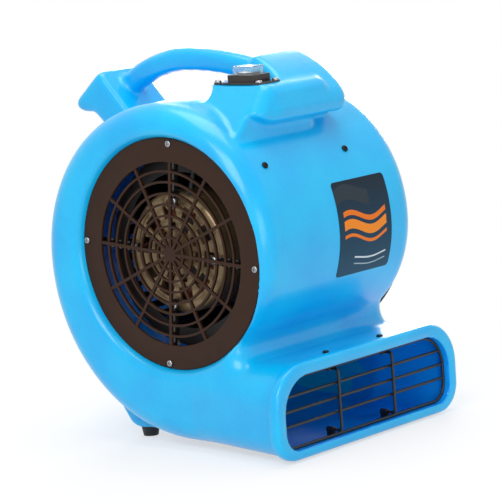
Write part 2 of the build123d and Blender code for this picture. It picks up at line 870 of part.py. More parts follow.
clip_share = (clip_y + rim_front - rim_depth) / (rim_front - rim_depth - tongue_face)
duct_floor = nose_low + wall + duct_rise * clip_share
duct_roof = nose_high - wall - duct_drop * clip_share


def wire_clip(x, height, seat):
    """Strap round a leg of the guard with a foot against the roof or the floor of the duct."""
    down = 1 if seat < height else -1
    with BuildPart() as clip:
        with BuildSketch(facing(clip_y + clip_width / 2)):
            with Locations((x, height)):
                Circle(wire / 2 + clip_strap)
            with Locations((x, (height + seat) / 2)):
                Rectangle(2 * clip_strap + 1, abs(height - seat))
            with Locations((x - 5 * down, seat + down * clip_strap / 2)):
                Rectangle(14, clip_strap)
            with Locations((x, height)):
                Circle(wire / 2 + weld, mode=Mode.SUBTRACT)
        extrude(amount=clip_width)
    return clip.part


with BuildPart() as guard_clips:
    for x in (-guard_upright, guard_upright):
        add(wire_clip(x, leg_low, duct_floor + clip_seat))
        add(wire_clip(x, leg_high, duct_roof - clip_seat))
    with BuildSketch(level(duct_floor - 1, 0, clip_y)):
        with Locations((-guard_upright - clip_reach, 0), (guard_upright - clip_reach, 0)):
            Circle(screw_radius + snug)
    extrude(amount=6, mode=Mode.SUBTRACT)
    with BuildSketch(level(nose_high, 0, clip_y)):
        with Locations((-guard_upright, 0), (guard_upright, 0)):
            Circle(screw_radius + snug)
    extrude(amount=-(nose_high - leg_high - wire / 2 - clip_strap), mode=Mode.SUBTRACT)
finish(guard_clips, "guard_clips")

with BuildPart() as nose_screws:
    for x in (-guard_upright, guard_upright):
        add(pan_screw(level(nose_high + 0.4, x, clip_y), wall + clip_strap + 1.5))
finish(nose_screws, "nose_screws")

with BuildPart() as clip_screws:
    for x in (-guard_upright, guard_upright):
        add(pan_screw(level(duct_floor + clip_seat + clip_strap, x - clip_reach, clip_y),
                      clip_strap + wall - 1.5))
finish(clip_screws, "clip_screws")


# ---------------------------------------------------------------- switch
def box_on(plane, length_x, length_y, height, corner=0.0):
    with BuildPart() as block:
        with BuildSketch(plane):
            if corner:
                RectangleRounded(length_x, length_y, corner)
            else:
                Rectangle(length_x, length_y)
        extrude(amount=height)
    return block.part


plate_top = pod_top + plate_thick
switch_top = plate_top + switch_height
rocker_pivot = switch_top - 2.5

with BuildPart() as switch_plate:
    with BuildSketch(level(pod_top, plate_x, plate_y)):
        RectangleRounded(plate_width, plate_length, 3)
        with GridLocations(plate_screw_pitch_x, plate_screw_pitch_y, 2, 2):
            Circle(screw_radius + screw_play, mode=Mode.SUBTRACT)
        with Locations((switch_x - plate_x, switch_y - plate_y)):
            Rectangle(switch_body_width + 0.4, switch_body_length + 0.4, mode=Mode.SUBTRACT)
    extrude(amount=plate_thick)
finish(switch_plate, "switch_plate")

with BuildPart() as plate_screws:
    for i in (-1, 1):
        for j in (-1, 1):
            add(pan_screw(level(plate_top, plate_x + i * plate_screw_pitch_x / 2,
                                plate_y + j * plate_screw_pitch_y / 2), plate_thick + wall))
finish(plate_screws, "plate_screws")

with BuildPart() as switch_body:
    add(box_on(level(plate_top, switch_x, switch_y), switch_width, switch_length, switch_height, 2))
    fillet(switch_body.faces().sort_by(Axis.Z)[-1].edges(), 0.8)
    add(box_on(level(plate_top, switch_x, switch_y), switch_body_width, switch_body_length,
               -switch_body_depth))
    well_depth = rocker_height - rocker_proud + rocker_length * 0.16 + 0.8
    with BuildSketch(level(switch_top, switch_x, switch_y)):
        Rectangle(rocker_width + 2 * rocker_gap, rocker_length + 2 * rocker_gap)
    extrude(amount=-well_depth, mode=Mode.SUBTRACT)
    with BuildSketch(side(switch_x)):
        with Locations((switch_y, rocker_pivot)):
            Circle(trunnion_radius + trunnion_play)
    extrude(amount=rocker_width / 2 + 2.4, both=True, mode=Mode.SUBTRACT)
    # blade terminals under the body
    with BuildSketch(level(plate_top - switch_body_depth, switch_x, switch_y)):
        with GridLocations(10, 11, 2, 2):
            Rectangle(0.8, 6.3)
    extrude(amount=-8)
finish(switch_body, "switch_body")

with BuildPart() as switch_rocker:
    with BuildSketch(side(switch_x - rocker_width / 2)):
        with BuildLine():
            low = switch_top + rocker_proud - rocker_height
            high = switch_top + rocker_proud
            half = rocker_length / 2
            Polyline((switch_y - half, high), (switch_y - half, low), (switch_y + half, low),
                     (switch_y + half, high))
            ThreePointArc((switch_y + half, high), (switch_y, high - 1.2), (switch_y - half, high))
        make_face()
    extrude(amount=rocker_width)
    with BuildSketch(side(switch_x)):
        with Locations((switch_y, rocker_pivot)):
            Circle(trunnion_radius)
    extrude(amount=rocker_width / 2 + 2, both=True)
finish(switch_rocker, "switch_rocker")

with BuildPart() as switch_boot:
    add(box_on(level(switch_top, switch_x, switch_y), boot_width, boot_length, boot_height, 3))
    fillet(switch_boot.faces().sort_by(Axis.Z)[-1].edges(), 1.5)
    add(box_on(level(switch_top, switch_x, switch_y), boot_width - 2 * boot_skin,
               boot_length - 2 * boot_skin, boot_height - boot_skin, 2), mode=Mode.SUBTRACT)
finish(switch_boot, "switch_boot")

# ---------------------------------------------------------------- wiring cover and capacitor
cover_seat = wall + cover_gap
capacitor_gap = 0.3

with BuildPart() as wiring_cover:
    with BuildSketch(around(cover_left)):
        add(scroll_band(cover_from, cover_to, cover_seat, cover_seat + cover_thick))
        make_face()
    extrude(amount=cover_right - cover_left)
    for x in (cover_screw_left, cover_screw_right):
        with BuildSketch(wall_plane(x, cover_screw_angle)):
            Circle(screw_radius + screw_play)
        extrude(amount=-wall - 6, mode=Mode.SUBTRACT)
    with BuildSketch(wall_plane(lead_end_x, lead_angle)):
        Circle(lead_radius + 0.9)
    extrude(amount=-wall - 6, mode=Mode.SUBTRACT)
finish(wiring_cover, "wiring_cover")

with BuildPart() as cover_screws:
    for x in (cover_screw_left, cover_screw_right):
        add(pan_screw(wall_plane(x, cover_screw_angle, -0.1), wall + cover_thick + nut_thick))
finish(cover_screws, "cover_screws")

with BuildPart() as cover_nuts:
    for x in (cover_screw_left, cover_screw_right):
        seat = wall_plane(x, cover_screw_angle, cover_seat + cover_thick + 0.1)
        add(hex_nut(seat.offset(-nut_thick), nut_radius, nut_thick, screw_radius + snug))
finish(cover_nuts, "cover_nuts")

cover_face = wall_plane(capacitor_x, capacitor_angle, cover_seat)
capacitor_plane = Plane(origin=cover_face.offset(capacitor_gap + capacitor_radius).origin,
                        x_dir=-cover_face.z_dir, z_dir=(1, 0, 0))
with BuildPart() as capacitor:
    with BuildSketch(capacitor_plane):
        Circle(capacitor_radius)
    extrude(amount=capacitor_length / 2, both=True)
    fillet(capacitor.edges().filter_by(GeomType.CIRCLE), 1.5)
    with BuildSketch(capacitor_plane.offset(-capacitor_length / 2)):
        with Locations((-5, 0), (5, 0)):
            Rectangle(0.8, 6.3)
    extrude(amount=-8)
finish(capacitor, "capacitor")

with BuildPart() as capacitor_clip:
    with BuildSketch(capacitor_plane):
        Circle(capacitor_radius + 1.2)
        with Locations((capacitor_radius - 0.6, 0)):
            Rectangle(1.6, capacitor_radius)
        Circle(capacitor_radius + snug, mode=Mode.SUBTRACT)
        with Locations((capacitor_radius + 6.1, 0)):
            Rectangle(12, 60, mode=Mode.SUBTRACT)
    extrude(amount=6, both=True)
finish(capacitor_clip, "capacitor_clip")

# ---------------------------------------------------------------- motor
def end_bell(face, inward, shaft_hole):
    """End bell of the motor: slotted face, rim and bearing hub; inward is +1 or -1 along X."""
    with BuildPart() as bell:
        with BuildSketch(around(face)):
            Circle(motor_radius)
        extrude(amount=inward * bell_depth)
        outer = bell.edges().filter_by(GeomType.CIRCLE)
        fillet(outer.sort_by_distance((face, axis_y, axis_height))[0], bell_round)
        with BuildSketch(around(face + inward * bell_skin)):
            Circle(motor_radius - bell_skin)
        extrude(amount=inward * (bell_depth - bell_skin), mode=Mode.SUBTRACT)
        with BuildSketch(around(face)):
            for radius, length, width in bell_slots:
                with PolarLocations(radius, bell_slot_count, 8):
                    Rectangle(length, width)
        extrude(amount=inward * bell_skin, mode=Mode.SUBTRACT)
        with BuildSketch(around(face)):
            Circle(bell_groove[1])
            Circle(bell_groove[0], mode=Mode.SUBTRACT)
        extrude(amount=inward * 0.8, mode=Mode.SUBTRACT)
        with BuildSketch(around(face)):
            Circle(bushing_radius + 4)
        extrude(amount=inward * (bell_depth + 2))
        with BuildSketch(around(face + inward * bell_skin)):
            Circle(bushing_radius)
        extrude(amount=inward * bell_depth, mode=Mode.SUBTRACT)
        if shaft_hole:
            with BuildSketch(around(face)):
                Circle(shaft_radius + 0.5)
            extrude(amount=inward * bell_skin, mode=Mode.SUBTRACT)
        with BuildSketch(around(face)):
            with Locations(*[polar(bolt_circle, a) for a in screw_angles]):
                Circle(boss_radius)
        extrude(amount=inward * bell_skin)
        with BuildSketch(around(face)):
            with Locations(*[polar(bolt_circle, a) for a in screw_angles]):
                Circle(bolt_radius + screw_play)
        extrude(amount=inward * bell_skin, both=True, mode=Mode.SUBTRACT)
    return bell


def collar(plane, outer, inner, length):
    with BuildPart() as ring:
        with BuildSketch(plane):
            Circle(outer)
            Circle(inner, mode=Mode.SUBTRACT)
        extrude(amount=length)
    return ring.part


motor_end_bell = end_bell(-motor_face, 1, False)
with BuildPart() as motor_end_bell_outer:
    add(motor_end_bell.part)
    # feet of the bell against the arms, and the lead hole in its rim
    for angle in screw_angles:
        stand = across_axis(-motor_face, bolt_circle, angle, -1)
        add(collar(stand, boss_radius, bolt_radius + screw_play,
                   ledge_inner - arm_thick - motor_face))
    with BuildSketch(across_axis(-motor_face, knockout_circle, lead_angle + 22, -1)):
        Circle(8)
        Circle(5.5, mode=Mode.SUBTRACT)
    extrude(amount=1.5)
    out = radial_plane(lead_angle)
    hole = Plane(origin=out.from_local_coords((lead_x, motor_radius - 8, 0)),
                 x_dir=(1, 0, 0), z_dir=out.y_dir)
    with BuildSketch(hole):
        Circle(lead_radius + grommet_wall)
    extrude(amount=12, mode=Mode.SUBTRACT)
finish(motor_end_bell_outer, "motor_end_bell_outer")

motor_end_bell_inner = end_bell(-motor_inner_face, -1, True)
finish(motor_end_bell_inner, "motor_end_bell_inner")

with BuildPart() as motor_can:
    add(collar(around(-motor_face + bell_depth), motor_radius, motor_radius - motor_skin,
               motor_face - motor_inner_face - 2 * bell_depth))
finish(motor_can, "motor_can")

with BuildPart() as stator_core:
    add(collar(around(stator_mid - stator_length / 2), stator_radius, stator_bore, stator_length))
    with BuildSketch(around(stator_mid - stator_length / 2)):
        with PolarLocations(stator_bore + 9, 24):
            Rectangle(14, 4)
        with Locations(*[polar(bolt_circle, a) for a in screw_angles]):
            Circle(bolt_radius + screw_play)
    extrude(amount=stator_length, mode=Mode.SUBTRACT)
finish(stator_core, "stator_core")

with BuildPart() as stator_windings:
    for start, direction in ((stator_mid - stator_length / 2, -1), (stator_mid + stator_length / 2, 1)):
        add(collar(around(start), winding_outer - 5, winding_inner, direction * winding_depth))
    fillet(stator_windings.edges().filter_by(GeomType.CIRCLE), 2)
finish(stator_windings, "stator_windings")

with BuildPart() as motor_bolts:
    bolt_length = ledge_inner - motor_inner_face
    for angle in screw_angles:
        add(pan_screw(across_axis(-ledge_inner, bolt_circle, angle, -1), bolt_length,
                      bolt_radius, 4.5, 2.4))
finish(motor_bolts, "motor_bolts")

with BuildPart() as motor_bushings:
    for face, direction in ((-motor_face, 1), (-motor_inner_face, -1)):
        add(collar(around(face + direction * bell_skin), bushing_radius, shaft_radius + shaft_play,
                   direction * (bell_depth - 1)))
finish(motor_bushings, "motor_bushings")

with BuildPart() as motor_arms:
    # four flat bars from the intake ledge to the motor, one behind every third grille spoke
    with BuildSketch(around(-ledge_inner)):
        arm_length = seat_radius - 3 - arm_inner
        with PolarLocations(arm_inner + arm_length / 2, 4, 90 + grille_turn):
            Rectangle(arm_length, arm_width)
        with Locations(*[polar(bolt_circle, a) for a in screw_angles]):
            Circle(bolt_radius + screw_play, mode=Mode.SUBTRACT)
        with Locations(*[polar(grille_screw_circle, a) for a in screw_angles]):
            Circle(screw_radius + screw_play, mode=Mode.SUBTRACT)
    extrude(amount=arm_thick)
finish(motor_arms, "motor_arms")

with BuildPart() as lead_grommet:
    add(collar(hole.offset(3), lead_radius + grommet_wall, lead_radius, 8))
finish(lead_grommet, "lead_grommet")

lead_turn = scroll_radius(lead_angle, wall) - lead_drop
with BuildPart() as motor_lead:
    with BuildLine(radial_plane(lead_angle)) as lead_path:
        FilletPolyline(
            (lead_x, motor_radius - 5),
            (lead_x, lead_turn),
            (lead_end_x, lead_turn),
            (lead_end_x, scroll_radius(lead_angle) + 8),
            radius=lead_bend,
        )
    with BuildSketch(hole.offset(3)):
        Circle(lead_radius)
    sweep(path=lead_path.line)
finish(motor_lead, "motor_lead")

# ---------------------------------------------------------------- rotor
shaft_end = hub_length + disc_thick / 2 + 2
with BuildPart() as motor_shaft:
    with BuildSketch(around(-motor_face + bell_skin + 0.3)):
        Circle(shaft_radius)
    extrude(amount=motor_face - bell_skin - 0.3 + shaft_end)
    chamfer(motor_shaft.edges().filter_by(GeomType.CIRCLE), 0.6)
finish(motor_shaft, "motor_shaft")

with BuildPart() as rotor_core:
    add(collar(around(stator_mid - stator_length / 2), rotor_radius, shaft_radius, stator_length))
    add(collar(around(stator_mid - stator_length / 2 - 5), rotor_radius - 4, shaft_radius + 8,
               stator_length + 10))
finish(rotor_core, "rotor_core")

with BuildPart() as wheel_hub:
    add(collar(around(disc_thick / 2), hub_radius, shaft_radius, hub_length))
    add(collar(around(disc_thick / 2), hub_flange_radius, shaft_radius, hub_flange))
    with BuildSketch(around(disc_thick / 2)):
        with PolarLocations(rivet_circle, 6):
            Circle(2)
    extrude(amount=hub_flange, mode=Mode.SUBTRACT)
    with BuildSketch(level(axis_height, disc_thick / 2 + hub_length * 0.65, 0)):
        Circle(set_screw_radius)
    extrude(amount=hub_radius + 1, mode=Mode.SUBTRACT)
finish(wheel_hub, "wheel_hub")

with BuildPart() as wheel_set_screw:
    with BuildSketch(level(axis_height + shaft_radius, disc_thick / 2 + hub_length * 0.65, 0)):
        Circle(set_screw_radius)
    extrude(amount=hub_radius - shaft_radius - 1)
    with BuildSketch(level(axis_height + hub_radius - 1, disc_thick / 2 + hub_length * 0.65, 0)):
        RegularPolygon(1.6, 6)
    extrude(amount=-3, mode=Mode.SUBTRACT)
finish(wheel_set_screw, "wheel_set_screw")

with BuildPart() as wheel_disc:
    with BuildSketch(around(-disc_thick / 2)):
        Circle(wheel_radius)
        Circle(shaft_radius + 0.5, mode=Mode.SUBTRACT)
        with PolarLocations(rivet_circle, 6):
            Circle(2, mode=Mode.SUBTRACT)
    extrude(amount=disc_thick)
finish(wheel_disc, "wheel_disc")

with BuildPart() as wheel_rivets:
    grip_length = disc_thick + hub_flange
    with BuildSketch(around(-disc_thick / 2)):
        with PolarLocations(rivet_circle, 6):
            Circle(2)
    extrude(amount=grip_length)
    for x, direction in ((-disc_thick / 2, -1), (disc_thick / 2 + hub_flange, 1)):
        with BuildSketch(around(x)):
            with PolarLocations(rivet_circle, 6):
                Circle(3.6)
        extrude(amount=direction * 1.4)
finish(wheel_rivets, "wheel_rivets")


def blade_outline():
    """One forward-curved blade: a thin arc from the inner to the outer radius of the wheel."""
    depth = wheel_radius - wheel_inner - 2
    with BuildSketch(Plane.XY) as blade:
        with BuildLine():
            inner = Vector(wheel_inner, 0)
            middle = Vector(wheel_inner + depth / 2, -2.2)
            outer = Vector(wheel_inner + depth, 4)
            ThreePointArc(inner, middle, outer)
            shift = Vector(0, blade_thick)
            ThreePointArc(inner + shift, middle + shift, outer + shift)
            Line(inner, inner + shift)
            Line(outer, outer + shift)
        make_face()
    return blade.sketch


with BuildPart() as wheel_blades:
    blade = blade_outline()
    for start, direction in ((disc_thick / 2, 1), (-disc_thick / 2, -1)):
        with BuildSketch(around(start)):
            with PolarLocations(0, blade_count):
                add(blade)
        extrude(amount=direction * (wheel_half - wheel_ring - disc_thick / 2))
finish(wheel_blades, "wheel_blades")

with BuildPart() as wheel_rings:
    for sign in (-1, 1):
        add(collar(around(sign * (wheel_half - wheel_ring)), wheel_radius, wheel_inner - 1.5,
                   sign * wheel_ring))
finish(wheel_rings, "wheel_rings")

# ---------------------------------------------------------------- feet, label and cord gland
with BuildPart() as rear_feet:
    for x in (-rear_foot_x, rear_foot_x):
        with BuildSketch(level(0, x, rear_foot_y)):
            Circle(rear_foot_tip)
        with BuildSketch(level(rear_foot_height, x, rear_foot_y)):
            Circle(rear_foot_radius)
        loft()
    with BuildSketch(level(0, 0, rear_foot_y)):
        with Locations((-rear_foot_x, 0), (rear_foot_x, 0)):
            Circle(foot_screw_radius + screw_play)
    extrude(amount=rear_foot_height, mode=Mode.SUBTRACT)
    with BuildSketch(level(0, 0, rear_foot_y)):
        with Locations((-rear_foot_x, 0), (rear_foot_x, 0)):
            Circle(foot_screw_head + screw_play)
    extrude(amount=rear_foot_height / 2, mode=Mode.SUBTRACT)
finish(rear_feet, "rear_feet")

with BuildPart() as front_feet:
    with BuildSketch(level(0, 0, front_foot_y)):
        with Locations((-front_foot_x, 0), (front_foot_x, 0)):
            Circle(front_foot_radius)
            Circle(foot_screw_radius + screw_play, mode=Mode.SUBTRACT)
    extrude(amount=front_foot_height)
    with BuildSketch(level(0, 0, front_foot_y)):
        with Locations((-front_foot_x, 0), (front_foot_x, 0)):
            Circle(foot_screw_head + screw_play)
    extrude(amount=front_foot_height / 2, mode=Mode.SUBTRACT)
finish(front_feet, "front_feet")

with BuildPart() as foot_screws:
    for x in (-rear_foot_x, rear_foot_x):
        under_head = level(rear_foot_height / 2, x, rear_foot_y)
        facing_down = Plane(origin=under_head.origin, x_dir=(1, 0, 0), z_dir=(0, 0, -1))
        add(pan_screw(facing_down, rear_foot_height / 2 + foot_screw_grip - 2,
                      foot_screw_radius, foot_screw_head, 2.0))
    for x in (-front_foot_x, front_foot_x):
        under_head = level(front_foot_height / 2, x, front_foot_y)
        facing_down = Plane(origin=under_head.origin, x_dir=(1, 0, 0), z_dir=(0, 0, -1))
        add(pan_screw(facing_down, front_foot_height / 2 + wall, foot_screw_radius,
                      foot_screw_head, 2.0))
finish(foot_screws, "foot_screws")

with BuildPart() as label_plate:
    with BuildSketch(around(label_left)):
        add(scroll_band(label_low, label_high, -snug, -snug - label_thick))
        make_face()
    extrude(amount=label_right - label_left)
    low, high = scroll_point(label_low)[1], scroll_point(label_high)[1]
    with BuildSketch(facing(0, axis_height + (low + high) / 2)):
        with Locations(((label_left + label_right) / 2, 0)):
            RectangleRounded(label_right - label_left, high - low, label_round)
    extrude(amount=scroll_front + scroll_step, mode=Mode.INTERSECT)
finish(label_plate, "label_plate")

with BuildPart() as cord_gland:
    seat = wall_plane(gland_x, gland_angle, gland_seat)
    add(collar(seat, gland_radius, gland_bore, 5))
    add(collar(seat.offset(5), gland_radius - 2.5, gland_bore, 9))
    fillet(cord_gland.faces().sort_by_distance(seat.origin + seat.z_dir * 20)[0].edges(), 1)
    add(collar(seat, gland_thread, gland_bore, -wall - 7))
finish(cord_gland, "cord_gland")

with BuildPart() as gland_nut:
    inner_seat = wall_plane(gland_x, gland_angle, wall + 0.35)
    add(hex_nut(inner_seat.offset(-nut_thick), gland_radius + 1, nut_thick, gland_thread + snug))
finish(gland_nut, "gland_nut")
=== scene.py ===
"""Looks of the carpet-drying air mover: moulded shell, intake grilles, wire guard, covered switch.

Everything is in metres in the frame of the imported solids: +Z up, outlet towards -Y, fan axis along X.
"""
from math import cos, pi, radians, sin

import bmesh
import bpy
import numpy
from mathutils import Matrix, Vector
from mathutils.kdtree import KDTree


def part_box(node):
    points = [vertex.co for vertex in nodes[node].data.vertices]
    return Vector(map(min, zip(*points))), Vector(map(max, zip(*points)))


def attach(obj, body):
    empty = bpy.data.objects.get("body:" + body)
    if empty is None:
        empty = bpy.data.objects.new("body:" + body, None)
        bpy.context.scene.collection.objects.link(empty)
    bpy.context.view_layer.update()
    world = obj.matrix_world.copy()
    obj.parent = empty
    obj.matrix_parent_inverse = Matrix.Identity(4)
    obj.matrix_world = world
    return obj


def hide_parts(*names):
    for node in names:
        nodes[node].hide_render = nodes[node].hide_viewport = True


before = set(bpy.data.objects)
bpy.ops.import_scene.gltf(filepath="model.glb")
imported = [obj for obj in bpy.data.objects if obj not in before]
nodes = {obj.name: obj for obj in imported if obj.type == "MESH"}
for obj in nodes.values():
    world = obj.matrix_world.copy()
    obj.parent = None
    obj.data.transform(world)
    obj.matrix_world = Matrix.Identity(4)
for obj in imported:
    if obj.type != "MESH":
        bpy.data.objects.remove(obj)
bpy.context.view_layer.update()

scene = bpy.context.scene
MM = 0.001


# ---------------------------------------------------------------- helpers
def srgb(code, alpha=1.0):
    """Linear colour from an sRGB hex code."""
    channels = [int(code[i:i + 2], 16) / 255 for i in (1, 3, 5)]
    return tuple(c / 12.92 if c <= 0.04045 else ((c + 0.055) / 1.055) ** 2.4
                 for c in channels) + (alpha,)


def per_metre(millimetres):
    """Scale of a pattern whose features are that many millimetres apart."""
    return 1.0 / (millimetres * MM)


def add(tree, kind, inputs=None, **settings):
    """Adds one node; each input is a constant or another node's output socket."""
    node = tree.nodes.new(kind)
    for name, value in settings.items():
        setattr(node, name, value)
    for socket, value in (inputs or {}).items():
        if isinstance(value, bpy.types.NodeSocket):
            tree.links.new(value, node.inputs[socket])
        else:
            node.inputs[socket].default_value = value
    return node


def new_finish(name):
    """An empty material: its node tree, its output node and the piece's own coordinates."""
    finish = bpy.data.materials.new(name)
    finish.use_nodes = True
    tree = finish.node_tree
    tree.nodes.clear()
    place = add(tree, "ShaderNodeTexCoord").outputs["Object"]
    return finish, tree, add(tree, "ShaderNodeOutputMaterial"), place


# ---------------------------------------------------------------- finishes
def rotomoulded_polyethylene(name, light, deep):
    """Rotomoulded polyethylene: waxy semi-gloss, a faint orange peel and cloudy pigment."""
    finish, tree, output, place = new_finish(name)
    cloud = add(tree, "ShaderNodeTexNoise", {"Vector": place, "Scale": per_metre(70), "Detail": 3.0})
    speckle = add(tree, "ShaderNodeTexNoise", {"Vector": place, "Scale": per_metre(1.6), "Detail": 1.0})
    pigment = add(tree, "ShaderNodeMix", {"Factor": 0.35, "A": cloud.outputs["Fac"],
                                          "B": speckle.outputs["Fac"]}, data_type="FLOAT")
    colour = add(tree, "ShaderNodeValToRGB", {"Fac": pigment.outputs["Result"]})
    colour.color_ramp.elements[0].position = 0.36
    colour.color_ramp.elements[0].color = srgb(deep)
    colour.color_ramp.elements[1].position = 0.62
    colour.color_ramp.elements[1].color = srgb(light)
    # the mould's blasted surface: pebbles about 2.2 mm apart, a few hundredths of a millimetre deep
    peel = add(tree, "ShaderNodeTexNoise", {"Vector": place, "Scale": per_metre(2.2), "Detail": 2.0})
    swell = add(tree, "ShaderNodeTexNoise", {"Vector": place, "Scale": per_metre(45), "Detail": 1.0})
    ripple = add(tree, "ShaderNodeBump", {"Height": swell.outputs["Fac"], "Strength": 0.5,
                                          "Distance": 0.6 * MM})
    bump = add(tree, "ShaderNodeBump", {"Height": peel.outputs["Fac"], "Strength": 0.44,
                                        "Distance": 0.10 * MM, "Normal": ripple.outputs["Normal"]})
    wear = add(tree, "ShaderNodeMapRange", {"Value": cloud.outputs["Fac"], "To Min": 0.27,
                                            "To Max": 0.34})
    skin = add(tree, "ShaderNodeBsdfPrincipled", {
        "Base Color": colour.outputs["Color"], "Roughness": wear.outputs["Result"], "IOR": 1.50,
        "Specular IOR Level": 0.36, "Coat Weight": 0.30, "Coat Roughness": 0.13,
        "Normal": bump.outputs["Normal"]})
    tree.links.new(skin.outputs["BSDF"], output.inputs["Surface"])
    return finish


def moulded_plastic(name, shade, rough, pebble, gleam=0.5, sheen=0.0):
    """Injection-moulded or cast plastic: one colour, slightly uneven gloss, a fine moulded grain."""
    finish, tree, output, place = new_finish(name)
    cloud = add(tree, "ShaderNodeTexNoise", {"Vector": place, "Scale": per_metre(22), "Detail": 3.0})
    colour = add(tree, "ShaderNodeMix", {"Factor": cloud.outputs["Fac"], "A": srgb(shade[0]),
                                         "B": srgb(shade[1])}, data_type="RGBA")
    gloss = add(tree, "ShaderNodeMapRange", {"Value": cloud.outputs["Fac"], "To Min": rough - 0.06,
                                             "To Max": rough + 0.06})
    grain = add(tree, "ShaderNodeTexNoise", {"Vector": place, "Scale": per_metre(pebble), "Detail": 2.0})
    warp = add(tree, "ShaderNodeBump", {"Height": cloud.outputs["Fac"], "Strength": 0.6,
                                        "Distance": 0.5 * MM})
    bump = add(tree, "ShaderNodeBump", {"Height": grain.outputs["Fac"], "Strength": 0.4,
                                        "Distance": 0.06 * MM, "Normal": warp.outputs["Normal"]})
    skin = add(tree, "ShaderNodeBsdfPrincipled", {
        "Base Color": colour.outputs["Result"], "Roughness": gloss.outputs["Result"], "IOR": 1.50,
        "Specular IOR Level": gleam, "Sheen Weight": sheen, "Normal": bump.outputs["Normal"]})
    tree.links.new(skin.outputs["BSDF"], output.inputs["Surface"])
    return finish


def coated_steel(name, shade, rough, pebble, metallic=0.0, coat=0.0):
    """Powder coat, enamel or black oxide on steel: an even film with a fine pebble."""
    finish, tree, output, place = new_finish(name)
    pebbles = add(tree, "ShaderNodeTexNoise", {"Vector": place, "Scale": per_metre(pebble), "Detail": 2.0})
    film = add(tree, "ShaderNodeTexNoise", {"Vector": place, "Scale": per_metre(15), "Detail": 2.0})
    colour = add(tree, "ShaderNodeMix", {"Factor": film.outputs["Fac"], "A": srgb(shade[0]),
                                         "B": srgb(shade[1])}, data_type="RGBA")
    gloss = add(tree, "ShaderNodeMapRange", {"Value": film.outputs["Fac"], "To Min": rough - 0.05,
                                             "To Max": rough + 0.07})
    bump = add(tree, "ShaderNodeBump", {"Height": pebbles.outputs["Fac"], "Strength": 0.35,
                                        "Distance": 0.05 * MM})
    skin = add(tree, "ShaderNodeBsdfPrincipled", {
        "Base Color": colour.outputs["Result"], "Roughness": gloss.outputs["Result"],
        "Metallic": metallic, "Coat Weight": coat, "Coat Roughness": 0.15,
        "Normal": bump.outputs["Normal"]})
    tree.links.new(skin.outputs["BSDF"], output.inputs["Surface"])
    return finish


def bare_metal(name, shade, rough, streak, along=(1.0, 1.0, 1.0)):
    """Plated, ground, cast or rolled metal: the streaks run where the tool or the roller went."""
    finish, tree, output, place = new_finish(name)
    lay = add(tree, "ShaderNodeMapping", {"Vector": place, "Scale": along})
    marks = add(tree, "ShaderNodeTexNoise", {"Vector": lay.outputs["Vector"],
                                             "Scale": per_metre(streak), "Detail": 3.0})
    colour = add(tree, "ShaderNodeMix", {"Factor": marks.outputs["Fac"], "A": srgb(shade[0]),
                                         "B": srgb(shade[1])}, data_type="RGBA")
    gloss = add(tree, "ShaderNodeMapRange", {"Value": marks.outputs["Fac"], "To Min": rough * 0.8,
                                             "To Max": rough * 1.3})
    bump = add(tree, "ShaderNodeBump", {"Height": marks.outputs["Fac"], "Strength": 0.25,
                                        "Distance": 0.04 * MM})
    skin = add(tree, "ShaderNodeBsdfPrincipled", {
        "Base Color": colour.outputs["Result"], "Roughness": gloss.outputs["Result"],
        "Metallic": 1.0, "Normal": bump.outputs["Normal"]})
    tree.links.new(skin.outputs["BSDF"], output.inputs["Surface"])
    return finish


def galvanised_sheet(name):
    """Hot-dip galvanised steel: grey zinc with crystal spangles 6 mm across."""
    finish, tree, output, place = new_finish(name)
    spangle = add(tree, "ShaderNodeTexVoronoi", {"Vector": place, "Scale": per_metre(6)})
    grey = add(tree, "ShaderNodeValToRGB", {"Fac": spangle.outputs["Color"]})
    grey.color_ramp.elements[0].color = srgb("#8c9193")
    grey.color_ramp.elements[1].color = srgb("#b4b9bb")
    gloss = add(tree, "ShaderNodeMapRange", {"Value": spangle.outputs["Color"], "To Min": 0.30,
                                             "To Max": 0.50})
    skin = add(tree, "ShaderNodeBsdfPrincipled", {
        "Base Color": grey.outputs["Color"], "Roughness": gloss.outputs["Result"], "Metallic": 1.0})
    tree.links.new(skin.outputs["BSDF"], output.inputs["Surface"])
    return finish


waves_of_scale = 3.14        # about as many waves as a wave texture of scale 1 has in a metre


def wound_copper(name):
    """Enamelled copper wire laid round the stator: ridges about 2.4 mm apart.

    Real wire lies closer. It is drawn this coarse so that the turns show.
    """
    finish, tree, output, place = new_finish(name)
    turns = add(tree, "ShaderNodeTexWave", {"Vector": place, "Scale": per_metre(2.4) / waves_of_scale,
                                            "Distortion": 1.5, "Detail": 1.0}, bands_direction="X")
    colour = add(tree, "ShaderNodeMix", {"Factor": turns.outputs["Fac"], "A": srgb("#5a2a14"),
                                         "B": srgb("#b8622e")}, data_type="RGBA")
    bump = add(tree, "ShaderNodeBump", {"Height": turns.outputs["Fac"], "Strength": 0.8,
                                        "Distance": 0.4 * MM})
    skin = add(tree, "ShaderNodeBsdfPrincipled", {
        "Base Color": colour.outputs["Result"], "Roughness": 0.35, "Metallic": 0.7,
        "Coat Weight": 0.6, "Coat Roughness": 0.2, "Normal": bump.outputs["Normal"]})
    tree.links.new(skin.outputs["BSDF"], output.inputs["Surface"])
    return finish


def clear_vinyl(name):
    """Clear plasticised vinyl: glassy, faintly blue, with a soft moulded waviness."""
    finish, tree, output, place = new_finish(name)
    wave = add(tree, "ShaderNodeTexNoise", {"Vector": place, "Scale": per_metre(6), "Detail": 1.0})
    bump = add(tree, "ShaderNodeBump", {"Height": wave.outputs["Fac"], "Strength": 0.3,
                                        "Distance": 0.3 * MM})
    skin = add(tree, "ShaderNodeBsdfPrincipled", {
        "Base Color": srgb("#f2f8fa"), "Roughness": 0.10, "IOR": 1.42,
        "Transmission Weight": 0.92, "Normal": bump.outputs["Normal"]})
    tree.links.new(skin.outputs["BSDF"], output.inputs["Surface"])
    return finish


